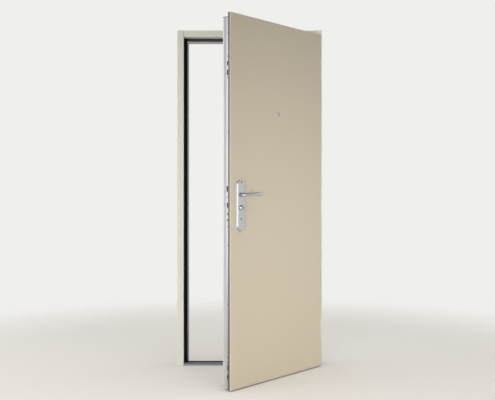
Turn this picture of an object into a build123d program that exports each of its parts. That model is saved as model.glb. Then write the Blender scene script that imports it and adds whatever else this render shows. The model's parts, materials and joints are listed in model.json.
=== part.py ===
from build123d import *
from math import cos, radians, sin
import os

# A security door set, standing ajar: a pressed steel frame, an armoured leaf on three lift-off hinges,
# a sprung lever with its latch, and three groups of bolts that are thrown together.
# Millimetres. X runs along the wall, Y from the room to the landing and Z up.
# The origin is under the threshold, at mid-width and mid-depth of the frame.

# Pressed steel frame
FRAME_WIDTH = 905
FRAME_HEIGHT = 2100
FACE_WIDTH = 41
REBATE_DEPTH = 66
STOP_STEP = 24
STOP_DEPTH = 38
SHEET = 2
BEND_RADIUS = 3
WALL_RETURN = 18

# Wall anchors through the rebate of each jamb, in two pairs
ANCHOR_RADIUS = 5.5
ANCHOR_SETBACK = 34
ANCHOR_PAIR_SPACING = 400
LOWER_ANCHORS_RISE = 580
UPPER_ANCHORS_DROP = 660

# Threshold, seals and stop trims
THRESHOLD_HEIGHT = 16
THRESHOLD_WALL = 2.5
THRESHOLD_NOSE = 5
THRESHOLD_SEAL_WIDTH = 34
THRESHOLD_SEAL_INSET = 8
THRESHOLD_SEAL_SUNK = 4
THRESHOLD_SEAL_PROUD = 1
SEAL_WIDTH = 18
SEAL_BASE = 4
SEAL_BULB_INSET = 2
SEAL_BULB_WIDTH = 13
SEAL_ROUND = 6
TRIM_SHEET = 1.5

# Leaf, measured as it stands closed
OPEN_ANGLE = 50
PANEL_THICK = 6
PANEL_ROUND = 1.5
LIP_DEPTH = 12.5
LIP_SHEET = 2
BODY_DEPTH = 54.5
FACE_GAP = 5
SEAL_GAP = 5
LOCK_LAP = 8
HINGE_LAP = 22.5
HEAD_LAP = 8
PANEL_FOOT = 6
LOCK_GAP = 10
HINGE_GAP = 8
HEAD_GAP = 10
THRESHOLD_GAP = 5
STILE_WIDTH = 30
STILE_EDGE_WALL = 6
STILE_WALL = 2.5
STILE_ROUND = 4
STILE_GROOVE_WIDTH = 17
STILE_GROOVE_DEPTH = 2.5
STILE_GROOVE_SETBACK = 10
STILE_CAP = 3
RAIL_HEIGHT = 40
RAIL_WALL = 2.5
REAR_PANEL_THICK = 6

# Lift-off hinges
LOWER_HINGE_RISE = 230
MIDDLE_HINGE_RISE = 1036
UPPER_HINGE_DROP = 250
HINGE_OFFSET = 8
HINGE_FORWARD = 9.5
KNUCKLE_RADIUS = 7
KNUCKLE_LENGTH = 62
KNUCKLE_GAP = 1
PIN_RADIUS = 4
PIN_LENGTH = 48
PIN_CLEARANCE = 0.08
HINGE_WEB = 6
HINGE_FLANGE_THICK = 3

# Lock edge: the faceplate, the latch and the bolts. Each bolt has a height and a size: those of the
# upper lock are measured down from the top of the frame, those of the main lock up from its cylinder
# and those of the lower lock up from the floor.
FACEPLATE_WIDTH = 18
FACEPLATE_THICK = 3
FACEPLATE_PROUD = 1
FACEPLATE_SETBACK = 1.5
BOLT_WIDTH = 10
BOLT_LENGTH = 46
BOLT_RECESS = 3
BOLT_CHAMFER = 1.2
GUIDE_CLEARANCE = 0.3
UPPER_BOLT_DROPS = ((308, 23), (358, 30))
MAIN_BOLT_RISES = ((14, 28), (-34, 10), (-67, 10))
LOWER_BOLT_RISES = ((132, 10), (117, 10), (74.5, 21))
LATCH_RISE = 33
LATCH_TALL = 30
LATCH_WIDTH = 10
LATCH_REACH = 15
LATCH_LENGTH = 48
LATCH_NOSE = 2
LATCH_LAND = 1
STRIKE_SHEET = 2
STRIKE_WIDTH = 29
STRIKE_MARGIN = 26
STRIKE_CORNER = 6
STRIKE_CLEARANCE = 2

# Handle sets, the same on both faces
LEVER_HEIGHT = 1071
LEVER_BACKSET = 80
LEVER_LENGTH = 124
LEVER_STANDOFF = 42
LEVER_BEND = 34
NECK_RADIUS = 10.5
ARM_TALL = 11.5
ARM_THICK = 10
ARM_UNDERSIDE = 5
GRIP_TALL = 19.5
GRIP_THICK = 10
SPINDLE = 8
SPINDLE_HOLE_RADIUS = 9
PLATE_WIDTH = 62
PLATE_ABOVE = 83
PLATE_BELOW = 199
PLATE_THICK = 10
PLATE_TAPER = 20
PLATE_CORNER = 26
PLATE_ROUND = 0.8
PLATE_SCREW_ABOVE = 70
PLATE_SCREW_BELOW = 132
PLATE_SCREW_RADIUS = 2.6
PLATE_SCREW_SINK = 4.6
COLLAR_RADIUS = 13.5
COLLAR_HEIGHT = 5
CYLINDER_DROP = 71
CYLINDER_RADIUS = 8.5
CYLINDER_TAIL_WIDTH = 10
CYLINDER_TAIL_DROP = 24.5
CYLINDER_CLEARANCE = 0.3
GUARD_BASE_RADIUS = 15.5
GUARD_FACE_RADIUS = 11
GUARD_HEIGHT = 13
GUARD_ROUND = 1.5
GUARD_FACE_THICK = 3
GUARD_MOUTH_RADIUS = 5.5
GUARD_RECESS = 1
KEYWAY_WIDTH = 2.4
KEYWAY_TALL = 9
KEYWAY_DEPTH = 14

# Door viewer
VIEWER_HEIGHT = 1540
VIEWER_TUBE_RADIUS = 7
VIEWER_FLANGE_RADIUS = 12.5
VIEWER_FLANGE_THICK = 3.5
VIEWER_FLANGE_ROUND = 2.2
VIEWER_EYE_RADIUS = 4.5
VIEWER_EYE_DEPTH = 6
VIEWER_CLEARANCE = 0.3

# Planes that the pieces share
FRAME_DEPTH = REBATE_DEPTH + STOP_DEPTH
FRAME_FRONT = -FRAME_DEPTH / 2
STOP_FACE = FRAME_FRONT + REBATE_DEPTH
REVEAL = FRAME_WIDTH / 2 - FACE_WIDTH
CLEAR = REVEAL - STOP_STEP
HEAD_REVEAL = FRAME_HEIGHT - FACE_WIDTH
HEAD_CLEAR = HEAD_REVEAL - STOP_STEP
LIP_BACK = FRAME_FRONT - FACE_GAP
LIP_FRONT = LIP_BACK - LIP_DEPTH
PANEL_FRONT = LIP_FRONT - PANEL_THICK
BODY_FRONT = LIP_FRONT + LIP_SHEET
BODY_BACK = LIP_BACK + BODY_DEPTH
SEAL_FRONT = BODY_BACK + SEAL_GAP
PANEL_LOCK_EDGE = -REVEAL - LOCK_LAP
PANEL_HINGE_EDGE = REVEAL + HINGE_LAP
PANEL_TOP = HEAD_REVEAL + HEAD_LAP
LOCK_EDGE = -REVEAL + LOCK_GAP
HINGE_EDGE = REVEAL - HINGE_GAP
BODY_FOOT = THRESHOLD_HEIGHT + THRESHOLD_SEAL_PROUD + THRESHOLD_GAP
BODY_TOP = HEAD_REVEAL - HEAD_GAP
HINGE_X = PANEL_HINGE_EDGE + HINGE_OFFSET
HINGE_Y = LIP_BACK - HINGE_FORWARD
LEVER_X = PANEL_LOCK_EDGE + LEVER_BACKSET
VIEWER_X = (PANEL_LOCK_EDGE + PANEL_HINGE_EDGE) / 2
CYLINDER_HEIGHT = LEVER_HEIGHT - CYLINDER_DROP
LATCH_HEIGHT = LEVER_HEIGHT + LATCH_RISE
FACEPLATE_BACK = BODY_BACK - STILE_GROOVE_SETBACK - STILE_GROOVE_WIDTH - FACEPLATE_SETBACK
FACEPLATE_FRONT = FACEPLATE_BACK - FACEPLATE_WIDTH
FACEPLATE_FACE = LOCK_EDGE - FACEPLATE_PROUD
BOLT_LINE = (FACEPLATE_FRONT + FACEPLATE_BACK) / 2
ANCHOR_PAIR_HEIGHTS = (LOWER_ANCHORS_RISE, FRAME_HEIGHT - UPPER_ANCHORS_DROP)
HINGE_HEIGHTS = {
    "lower": LOWER_HINGE_RISE,
    "middle": MIDDLE_HINGE_RISE,
    "upper": FRAME_HEIGHT - UPPER_HINGE_DROP,
}
BOLTS = {
    "upper": [(FRAME_HEIGHT - drop, tall) for drop, tall in UPPER_BOLT_DROPS],
    "main": [(CYLINDER_HEIGHT + rise, tall) for rise, tall in MAIN_BOLT_RISES],
    "lower": LOWER_BOLT_RISES,
}


def block(x, y, z):
    """A box between two values on each axis."""
    size = [high - low for low, high in (x, y, z)]
    middle = [(high + low) / 2 for low, high in (x, y, z)]
    return Pos(*middle) * Box(*size)


def rect(x, y):
    """A rectangle between two values on each axis."""
    return Pos((x[0] + x[1]) / 2, (y[0] + y[1]) / 2) * Rectangle(x[1] - x[0], y[1] - y[0])


def along_y(x, z, radius, y):
    """A round bar along Y between two values."""
    return Pos(x, (y[0] + y[1]) / 2, z) * Rot(90, 0, 0) * Cylinder(radius, y[1] - y[0])


def oblong_bar(width, tall, x, y, z):
    """A bar along X with rounded top and bottom, between two X values."""
    section = SlotOverall(tall, width, rotation=90) if tall > width else Circle(width / 2)
    face = Plane((x[0], y, z), x_dir=(0, 1, 0), z_dir=(1, 0, 0)) * section
    return extrude(face, x[1] - x[0])


def mirrored(part):
    """The same piece on the other side of the doorway."""
    return mirror(part, about=Plane.YZ)


def envelope_points():
    """The jamb's outer corners: distance from the wall side, and depth behind the face."""
    inner = FACE_WIDTH + STOP_STEP
    return [
        (0, 0),
        (FACE_WIDTH, 0),
        (FACE_WIDTH, REBATE_DEPTH),
        (inner, REBATE_DEPTH),
        (inner, FRAME_DEPTH),
        (0, FRAME_DEPTH),
    ]


def away_from_crease(outline):
    """An outline's corners, apart from the sharp one where the rebate meets the stop."""
    crease = Vector(FACE_WIDTH, REBATE_DEPTH)
    return [corner for corner in outline.vertices() if (Vector(corner) - crease).length > 2 * SHEET]


def frame_section():
    """Folded sheet with bends, open towards the wall between its two returns."""
    inner = FACE_WIDTH + STOP_STEP
    hollow = [
        (SHEET, SHEET),
        (FACE_WIDTH - SHEET, SHEET),
        (FACE_WIDTH - SHEET, REBATE_DEPTH + SHEET),
        (inner - SHEET, REBATE_DEPTH + SHEET),
        (inner - SHEET, FRAME_DEPTH - SHEET),
        (SHEET, FRAME_DEPTH - SHEET),
    ]
    outside = Polygon(*envelope_points(), align=None)
    outside = fillet(away_from_crease(outside), BEND_RADIUS)
    inside = Polygon(*hollow, align=None)
    inside = fillet(away_from_crease(inside), BEND_RADIUS - SHEET)
    mouth = rect((-SHEET, 2 * SHEET), (WALL_RETURN, FRAME_DEPTH - WALL_RETURN))
    return outside - inside - mouth


LOCK_JAMB_PLANE = Plane((-FRAME_WIDTH / 2, FRAME_FRONT, 0), x_dir=(1, 0, 0), z_dir=(0, 0, 1))
HEAD_PLANE = Plane((-REVEAL, FRAME_FRONT, FRAME_HEIGHT), x_dir=(0, 0, -1), z_dir=(1, 0, 0))


def jamb_envelope():
    """The lock jamb filled in, used to cut what meets it."""
    return extrude(LOCK_JAMB_PLANE * Polygon(*envelope_points(), align=None), FRAME_HEIGHT)


def jamb():
    """A jamb on the lock side, with the holes for its wall anchors."""
    post = extrude(LOCK_JAMB_PLANE * frame_section(), FRAME_HEIGHT)
    for middle in ANCHOR_PAIR_HEIGHTS:
        for half in (-ANCHOR_PAIR_SPACING / 2, ANCHOR_PAIR_SPACING / 2):
            hole = oblong_bar(
                2 * ANCHOR_RADIUS,
                2 * ANCHOR_RADIUS,
                (-REVEAL - 2 * SHEET, -REVEAL + SHEET),
                FRAME_FRONT + ANCHOR_SETBACK,
                middle + half,
            )
            post -= hole
    return post


def strike_holes():
    """The holes that the bolts and the latch enter, through the strike plates and the lock jamb."""
    depth = (-REVEAL - 2 * SHEET, -REVEAL + 2 * STRIKE_SHEET)
    grown = 2 * STRIKE_CLEARANCE
    holes = []
    for group in BOLTS.values():
        for height, tall in group:
            holes.append(oblong_bar(BOLT_WIDTH + grown, tall + grown, depth, BOLT_LINE, height))
    latch_y = (LATCH_WIDTH + grown) / 2
    latch_z = (LATCH_TALL + grown) / 2
    holes.append(
        block(
            depth,
            (BOLT_LINE - latch_y, BOLT_LINE + latch_y),
            (LATCH_HEIGHT - latch_z, LATCH_HEIGHT + latch_z),
        )
    )
    return holes


def cut(part, tools):
    """A part with each tool taken out of it."""
    for tool in tools:
        part -= tool
    return part


def strike_plate(name):
    """A plate on the lock jamb's rebate, round the holes of one lock unit."""
    spans = [(height - tall / 2, height + tall / 2) for height, tall in BOLTS[name]]
    if name == "main":
        spans.append((LATCH_HEIGHT - LATCH_TALL / 2, LATCH_HEIGHT + LATCH_TALL / 2))
    low = min(span[0] for span in spans) - STRIKE_MARGIN
    high = max(span[1] for span in spans) + STRIKE_MARGIN
    front = FRAME_FRONT + BEND_RADIUS
    middle = (-REVEAL, front + STRIKE_WIDTH / 2, (low + high) / 2)
    face = Plane(middle, x_dir=(0, 1, 0), z_dir=(1, 0, 0))
    outline = RectangleRounded(STRIKE_WIDTH, high - low, STRIKE_CORNER)
    return cut(extrude(face * outline, STRIKE_SHEET), strike_holes())


def seal_section():
    """A bulb on a flat base: width across the stop from its corner, and depth towards the room."""
    depth = STOP_FACE - SEAL_FRONT
    bulb = rect((SEAL_BULB_INSET, SEAL_BULB_INSET + SEAL_BULB_WIDTH), (0, depth))
    bulb = fillet(bulb.vertices().group_by(Axis.Y)[-1], SEAL_ROUND)
    return rect((0, SEAL_WIDTH), (0, SEAL_BASE)) + bulb


def frame_pieces():
    pieces = {}
    lock_jamb = jamb()
    pieces["hinge_jamb"] = mirrored(lock_jamb)
    pieces["lock_jamb"] = cut(lock_jamb, strike_holes())
    head = extrude(HEAD_PLANE * frame_section(), 2 * REVEAL)
    envelope = jamb_envelope()
    pieces["frame_head"] = cut(head, [envelope, mirrored(envelope)])
    for name in BOLTS:
        pieces[f"{name}_strike_plate"] = strike_plate(name)

    # Threshold: a hollow extrusion with a sunk rubber seal
    seal_y = (STOP_FACE - THRESHOLD_SEAL_INSET - THRESHOLD_SEAL_WIDTH, STOP_FACE - THRESHOLD_SEAL_INSET)
    sill_plane = Plane((-REVEAL, 0, 0), x_dir=(0, 1, 0), z_dir=(1, 0, 0))
    outline = rect((FRAME_FRONT, STOP_FACE), (0, THRESHOLD_HEIGHT))
    nose = outline.vertices().group_by(Axis.Y)[-1].sort_by(Axis.X)[0]
    outline = chamfer(nose, THRESHOLD_NOSE)
    groove = rect(seal_y, (THRESHOLD_HEIGHT - THRESHOLD_SEAL_SUNK, THRESHOLD_HEIGHT))
    cell_top = THRESHOLD_HEIGHT - THRESHOLD_SEAL_SUNK - THRESHOLD_WALL
    web = (seal_y[0] + seal_y[1]) / 2
    cell_front = FRAME_FRONT + THRESHOLD_NOSE + THRESHOLD_WALL
    front_cell = rect((cell_front, web - THRESHOLD_WALL / 2), (THRESHOLD_WALL, cell_top))
    back_cell = rect((web + THRESHOLD_WALL / 2, STOP_FACE - THRESHOLD_WALL), (THRESHOLD_WALL, cell_top))
    section = outline - groove - front_cell - back_cell
    pieces["threshold"] = extrude(sill_plane * section, 2 * REVEAL)
    strip_top = THRESHOLD_HEIGHT + THRESHOLD_SEAL_PROUD
    strip = rect(seal_y, (THRESHOLD_HEIGHT - THRESHOLD_SEAL_SUNK, strip_top))
    pieces["threshold_seal"] = extrude(sill_plane * strip, 2 * REVEAL)

    # Seals on the stop, the head's between those of the jambs
    jamb_seal_plane = Plane((-REVEAL, STOP_FACE, strip_top), x_dir=(1, 0, 0), z_dir=(0, 0, 1))
    section = mirror(seal_section(), about=Plane.XZ)
    jamb_seal = extrude(jamb_seal_plane * section, HEAD_REVEAL - strip_top)
    pieces["lock_side_seal"] = jamb_seal
    pieces["hinge_side_seal"] = mirrored(jamb_seal)
    head_seal_start = (-REVEAL + SEAL_WIDTH, STOP_FACE, HEAD_REVEAL)
    head_seal_plane = Plane(head_seal_start, x_dir=(0, 0, -1), z_dir=(1, 0, 0))
    pieces["head_seal"] = extrude(head_seal_plane * section, 2 * (REVEAL - SEAL_WIDTH))

    # Angle trims round the stop, beside the seals
    trim_face = STOP_STEP - SEAL_WIDTH
    corner = CLEAR - TRIM_SHEET
    trim_top = HEAD_CLEAR - TRIM_SHEET
    trim_z = (THRESHOLD_HEIGHT, trim_top)
    trim_front = STOP_FACE - TRIM_SHEET
    cheek = block((-CLEAR, -corner), (trim_front, FRAME_DEPTH / 2), trim_z)
    lip = block((-CLEAR - trim_face, -corner), (trim_front, STOP_FACE), trim_z)
    jamb_trim = cheek + lip
    pieces["lock_side_stop_trim"] = jamb_trim
    pieces["hinge_side_stop_trim"] = mirrored(jamb_trim)
    cheek = block((-CLEAR, CLEAR), (trim_front, FRAME_DEPTH / 2), (trim_top, HEAD_CLEAR))
    lip = block(
        (-CLEAR - trim_face, CLEAR + trim_face),
        (trim_front, STOP_FACE),
        (trim_top, HEAD_CLEAR + trim_face),
    )
    pieces["head_stop_trim"] = cheek + lip
    return pieces


def knuckle(low, high, bore):
    """A hinge barrel on the hinge line."""
    barrel = Pos(HINGE_X, HINGE_Y, (low + high) / 2) * Cylinder(KNUCKLE_RADIUS, high - low)
    if bore:
        depth = PIN_LENGTH + KNUCKLE_GAP
        barrel -= Pos(HINGE_X, HINGE_Y, low + depth / 2) * Cylinder(PIN_RADIUS + PIN_CLEARANCE, depth)
    return barrel


def hinge_frame_half(height):
    """Lower barrel with its pin, on a flange against the jamb's face."""
    low = height - KNUCKLE_LENGTH - KNUCKLE_GAP / 2
    high = height - KNUCKLE_GAP / 2
    web_x = (HINGE_X - HINGE_WEB / 2, HINGE_X + HINGE_WEB / 2)
    flange_x = (HINGE_X - HINGE_WEB / 2, FRAME_WIDTH / 2 - BEND_RADIUS)
    pin = Pos(HINGE_X, HINGE_Y, high + PIN_LENGTH / 2) * Cylinder(PIN_RADIUS, PIN_LENGTH)
    web = block(web_x, (HINGE_Y, FRAME_FRONT), (low, high))
    flange = block(flange_x, (FRAME_FRONT - HINGE_FLANGE_THICK, FRAME_FRONT), (low, high))
    return knuckle(low, high, False) + pin + web + flange


def hinge_leaf_half(height):
    """Upper barrel that lifts off the pin, on a web to the leaf's lip."""
    low = height + KNUCKLE_GAP / 2
    high = height + KNUCKLE_LENGTH + KNUCKLE_GAP / 2
    web = block((PANEL_HINGE_EDGE, HINGE_X), (LIP_FRONT, LIP_BACK), (low, high))
    return knuckle(low, high, True) + (web - knuckle(low, high, False))


def stile_section(recessed):
    """A hollow extrusion: distance in from the leaf's edge, and depth behind the lip's sheet."""
    depth = BODY_BACK - BODY_FRONT
    outline = rect((0, STILE_WIDTH), (0, depth))
    back_corner = outline.vertices().group_by(Axis.Y)[-1].sort_by(Axis.X)[0]
    outline = fillet(back_corner, STILE_ROUND)
    groove_back = depth - STILE_GROOVE_SETBACK
    outline -= rect((0, STILE_GROOVE_DEPTH), (groove_back - STILE_GROOVE_WIDTH, groove_back))
    outline -= rect((STILE_EDGE_WALL, STILE_WIDTH - STILE_WALL), (STILE_WALL, depth - STILE_WALL))
    if recessed:
        seat = FACEPLATE_THICK - FACEPLATE_PROUD
        outline -= rect((0, seat), (FACEPLATE_FRONT - BODY_FRONT, FACEPLATE_BACK - BODY_FRONT))
    return outline


def bolt(height, tall, grown):
    """One bolt, drawn back just inside the faceplate, or the guide hole round it."""
    head = FACEPLATE_FACE + BOLT_RECESS
    reach = (head, head + BOLT_LENGTH)
    if grown:
        reach = (FACEPLATE_FACE - BOLT_RECESS, head + BOLT_LENGTH)
    width = BOLT_WIDTH + 2 * grown
    bar = oblong_bar(width, tall + 2 * grown, reach, BOLT_LINE, height)
    if grown:
        return bar
    return chamfer(bar.faces().sort_by(Axis.X)[0].edges(), BOLT_CHAMFER)


def latch(grown):
    """The spring latch, with its slope towards the landing, or the guide hole round it."""
    front = BOLT_LINE - LATCH_WIDTH / 2 - grown
    back = BOLT_LINE + LATCH_WIDTH / 2 + grown
    low = LATCH_HEIGHT - LATCH_TALL / 2 - grown
    high = LATCH_HEIGHT + LATCH_TALL / 2 + grown
    tip = FACEPLATE_FACE - LATCH_REACH
    tail = tip + LATCH_LENGTH
    if grown:
        return block((tip, tail), (front, back), (low, high))
    plan = Polygon(
        (tip, front),
        (tail, front),
        (tail, back),
        (FACEPLATE_FACE - LATCH_LAND, back),
        (tip, front + LATCH_NOSE),
        align=None,
    )
    return extrude(Pos(0, 0, low) * plan, high - low)


def lock_holes():
    """The guide holes of all bolts and of the latch."""
    holes = [bolt(height, tall, GUIDE_CLEARANCE) for group in BOLTS.values() for height, tall in group]
    return holes + [latch(GUIDE_CLEARANCE)]


def euro_profile(y, grown):
    """The lock cylinder's barrel and tail, along Y."""
    radius = CYLINDER_RADIUS + grown
    barrel = along_y(LEVER_X, CYLINDER_HEIGHT, radius, y)
    half = CYLINDER_TAIL_WIDTH / 2 + grown
    tail_z = (CYLINDER_HEIGHT - CYLINDER_TAIL_DROP - grown, CYLINDER_HEIGHT)
    return barrel + block((LEVER_X - half, LEVER_X + half), y, tail_z)


def leaf_holes():
    """What passes through the leaf: the spindle, the lock cylinder and the viewer."""
    through = (PANEL_FRONT - PANEL_THICK, BODY_BACK + PANEL_THICK)
    return [
        along_y(LEVER_X, LEVER_HEIGHT, SPINDLE_HOLE_RADIUS, through),
        euro_profile(through, CYLINDER_CLEARANCE),
        along_y(VIEWER_X, VIEWER_HEIGHT, VIEWER_TUBE_RADIUS + VIEWER_CLEARANCE, through),
    ]


def to_landing(part):
    """A piece of the room's handle set turned over to the landing face."""
    middle = (PANEL_FRONT + BODY_BACK) / 2
    return mirror(part, about=Plane((0, middle, 0), z_dir=(0, 1, 0)))


def screw_seat(height):
    """A countersunk hole through the room's handle plate."""
    plate_face = PANEL_FRONT - PLATE_THICK
    sink = PLATE_SCREW_SINK - PLATE_SCREW_RADIUS
    cone = Cone(PLATE_SCREW_RADIUS, PLATE_SCREW_SINK, sink)
    cone = Pos(LEVER_X, plate_face + sink / 2, height) * Rot(90, 0, 0) * cone
    return cone + along_y(LEVER_X, height, PLATE_SCREW_RADIUS, (plate_face, PANEL_FRONT))


def handle_plate():
    """A thick plate with rounded ends and sloping sides, and a collar that carries the lever's neck."""
    middle = LEVER_HEIGHT + (PLATE_ABOVE - PLATE_BELOW) / 2
    base = Plane((LEVER_X, PANEL_FRONT, middle), x_dir=(1, 0, 0), z_dir=(0, -1, 0))
    outline = RectangleRounded(PLATE_WIDTH, PLATE_ABOVE + PLATE_BELOW, PLATE_CORNER)
    plate = extrude(base * outline, PLATE_THICK, taper=PLATE_TAPER)
    plate = fillet(plate.faces().sort_by(Axis.Y)[0].edges(), PLATE_ROUND)
    plate_face = PANEL_FRONT - PLATE_THICK
    plate += along_y(LEVER_X, LEVER_HEIGHT, COLLAR_RADIUS, (plate_face - COLLAR_HEIGHT, plate_face))
    bore = NECK_RADIUS + GUIDE_CLEARANCE
    plate -= along_y(LEVER_X, LEVER_HEIGHT, bore, (plate_face - 2 * COLLAR_HEIGHT, PANEL_FRONT))
    round_hole = CYLINDER_RADIUS + CYLINDER_CLEARANCE
    plate -= along_y(LEVER_X, CYLINDER_HEIGHT, round_hole, (plate_face - PLATE_THICK, PANEL_FRONT))
    return plate


def cylinder_guard():
    """A tapered cup on the plate, over the end of the lock cylinder, with a round mouth for the key."""
    plate_face = PANEL_FRONT - PLATE_THICK
    bore = CYLINDER_RADIUS + CYLINDER_CLEARANCE
    inside = GUARD_HEIGHT - GUARD_FACE_THICK
    profile = Polygon(
        (bore, 0),
        (GUARD_BASE_RADIUS, 0),
        (GUARD_FACE_RADIUS, GUARD_HEIGHT),
        (GUARD_MOUTH_RADIUS, GUARD_HEIGHT),
        (GUARD_MOUTH_RADIUS, inside),
        (bore, inside),
        align=None,
    )
    rim = profile.vertices().group_by(Axis.Y)[-1].sort_by(Axis.X)[-1]
    ring = revolve(Plane.XZ * fillet(rim, GUARD_ROUND), Axis.Z)
    return Pos(LEVER_X, plate_face, CYLINDER_HEIGHT) * Rot(90, 0, 0) * ring


def lock_cylinder():
    """The profile cylinder through the leaf, with a plug and a keyway at each end."""
    plug = PLATE_THICK + GUARD_HEIGHT - GUARD_FACE_THICK - GUARD_RECESS
    ends = (PANEL_FRONT - plug, BODY_BACK + plug)
    body = euro_profile((PANEL_FRONT, BODY_BACK), 0)
    body += along_y(LEVER_X, CYLINDER_HEIGHT, CYLINDER_RADIUS, ends)
    keyway_x = (LEVER_X - KEYWAY_WIDTH / 2, LEVER_X + KEYWAY_WIDTH / 2)
    keyway_z = (CYLINDER_HEIGHT - KEYWAY_TALL / 2, CYLINDER_HEIGHT + KEYWAY_TALL / 2)
    body -= block(keyway_x, (ends[0], ends[0] + KEYWAY_DEPTH), keyway_z)
    return body - block(keyway_x, (ends[1] - KEYWAY_DEPTH, ends[1]), keyway_z)


def door_viewer():
    """A tube through the leaf with a rounded flange and a sunk eye at each end, spun about its own line."""
    half = (BODY_BACK - PANEL_FRONT) / 2
    end = half + VIEWER_FLANGE_THICK
    profile = Polygon(
        (0, 0),
        (VIEWER_TUBE_RADIUS, 0),
        (VIEWER_TUBE_RADIUS, half),
        (VIEWER_FLANGE_RADIUS, half),
        (VIEWER_FLANGE_RADIUS, end),
        (VIEWER_EYE_RADIUS, end),
        (VIEWER_EYE_RADIUS, end - VIEWER_EYE_DEPTH),
        (0, end - VIEWER_EYE_DEPTH),
        align=None,
    )
    rim = profile.vertices().group_by(Axis.Y)[-1].sort_by(Axis.X)[-1]
    one_end = revolve(Plane.XZ * fillet(rim, VIEWER_FLANGE_ROUND), Axis.Z)
    whole = one_end + mirror(one_end, about=Plane.XY)
    return Pos(VIEWER_X, PANEL_FRONT + half, VIEWER_HEIGHT) * Rot(90, 0, 0) * whole


def leaf_pieces():
    pieces = {}
    holes = leaf_holes()
    panel_x = (PANEL_LOCK_EDGE, PANEL_HINGE_EDGE)
    panel_z = (PANEL_FOOT, PANEL_TOP)
    panel = block(panel_x, (PANEL_FRONT, LIP_FRONT), panel_z)
    panel = fillet(panel.faces().sort_by(Axis.Y)[0].edges(), PANEL_ROUND)
    pieces["front_panel"] = cut(panel, holes)
    tray = block(panel_x, (LIP_FRONT, LIP_BACK), panel_z)
    tray -= block(
        (PANEL_LOCK_EDGE + LIP_SHEET, PANEL_HINGE_EDGE - LIP_SHEET),
        (BODY_FRONT, LIP_BACK),
        (PANEL_FOOT + LIP_SHEET, PANEL_TOP - LIP_SHEET),
    )
    pieces["lip_tray"] = cut(tray, holes)

    # Stiles, rails and rear panel make the body
    stile_z = (BODY_FOOT + STILE_CAP, BODY_TOP - STILE_CAP)
    lock_plane = Plane((LOCK_EDGE, BODY_FRONT, stile_z[0]), x_dir=(1, 0, 0), z_dir=(0, 0, 1))
    stile = extrude(lock_plane * stile_section(True), stile_z[1] - stile_z[0])
    pieces["lock_stile"] = cut(stile, lock_holes())
    hinge_plane = Plane((-HINGE_EDGE, BODY_FRONT, stile_z[0]), x_dir=(1, 0, 0), z_dir=(0, 0, 1))
    stile = extrude(hinge_plane * stile_section(False), stile_z[1] - stile_z[0])
    pieces["hinge_stile"] = mirrored(stile)
    body_y = (BODY_FRONT, BODY_BACK)
    for side, x in (
        ("lock", (LOCK_EDGE, LOCK_EDGE + STILE_WIDTH)),
        ("hinge", (HINGE_EDGE - STILE_WIDTH, HINGE_EDGE)),
    ):
        pieces[f"{side}_stile_foot_cap"] = block(x, body_y, (BODY_FOOT, stile_z[0]))
        pieces[f"{side}_stile_top_cap"] = block(x, body_y, (stile_z[1], BODY_TOP))
    inner_x = (LOCK_EDGE + STILE_WIDTH, HINGE_EDGE - STILE_WIDTH)
    rail_y = (BODY_FRONT, BODY_BACK - REAR_PANEL_THICK)
    hollow_y = (rail_y[0] + RAIL_WALL, rail_y[1] - RAIL_WALL)
    for name, low in (("bottom_rail", BODY_FOOT), ("top_rail", BODY_TOP - RAIL_HEIGHT)):
        rail = block(inner_x, rail_y, (low, low + RAIL_HEIGHT))
        pieces[name] = rail - block(inner_x, hollow_y, (low + RAIL_WALL, low + RAIL_HEIGHT - RAIL_WALL))
    rear = block(inner_x, (rail_y[1], BODY_BACK), (BODY_FOOT, BODY_TOP))
    pieces["rear_panel"] = cut(rear, holes)

    faceplate = block(
        (FACEPLATE_FACE, FACEPLATE_FACE + FACEPLATE_THICK), (FACEPLATE_FRONT, FACEPLATE_BACK), stile_z
    )
    pieces["lock_faceplate"] = cut(faceplate, lock_holes())

    # Handle sets on both faces, with the lock cylinder between them
    plate = handle_plate()
    screws = (LEVER_HEIGHT + PLATE_SCREW_ABOVE, LEVER_HEIGHT - PLATE_SCREW_BELOW)
    pieces["room_handle_plate"] = cut(plate, [screw_seat(height) for height in screws])
    pieces["landing_handle_plate"] = to_landing(plate)
    pieces["room_cylinder_guard"] = cylinder_guard()
    pieces["landing_cylinder_guard"] = to_landing(pieces["room_cylinder_guard"])
    pieces["lock_cylinder"] = lock_cylinder()
    pieces["door_viewer"] = door_viewer()
    for name, height in HINGE_HEIGHTS.items():
        pieces[f"{name}_hinge_leaf_half"] = hinge_leaf_half(height)
    return pieces


def lever_section(x, y, z, heading, tall, thick):
    """An oval across the lever's arm, facing along its heading in plan."""
    along = (sin(radians(heading)), -cos(radians(heading)), 0)
    plane = Plane((LEVER_X + x, y, LEVER_HEIGHT + z), x_dir=(0, 0, 1), z_dir=along)
    return plane * Ellipse(tall / 2, thick / 2)


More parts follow.
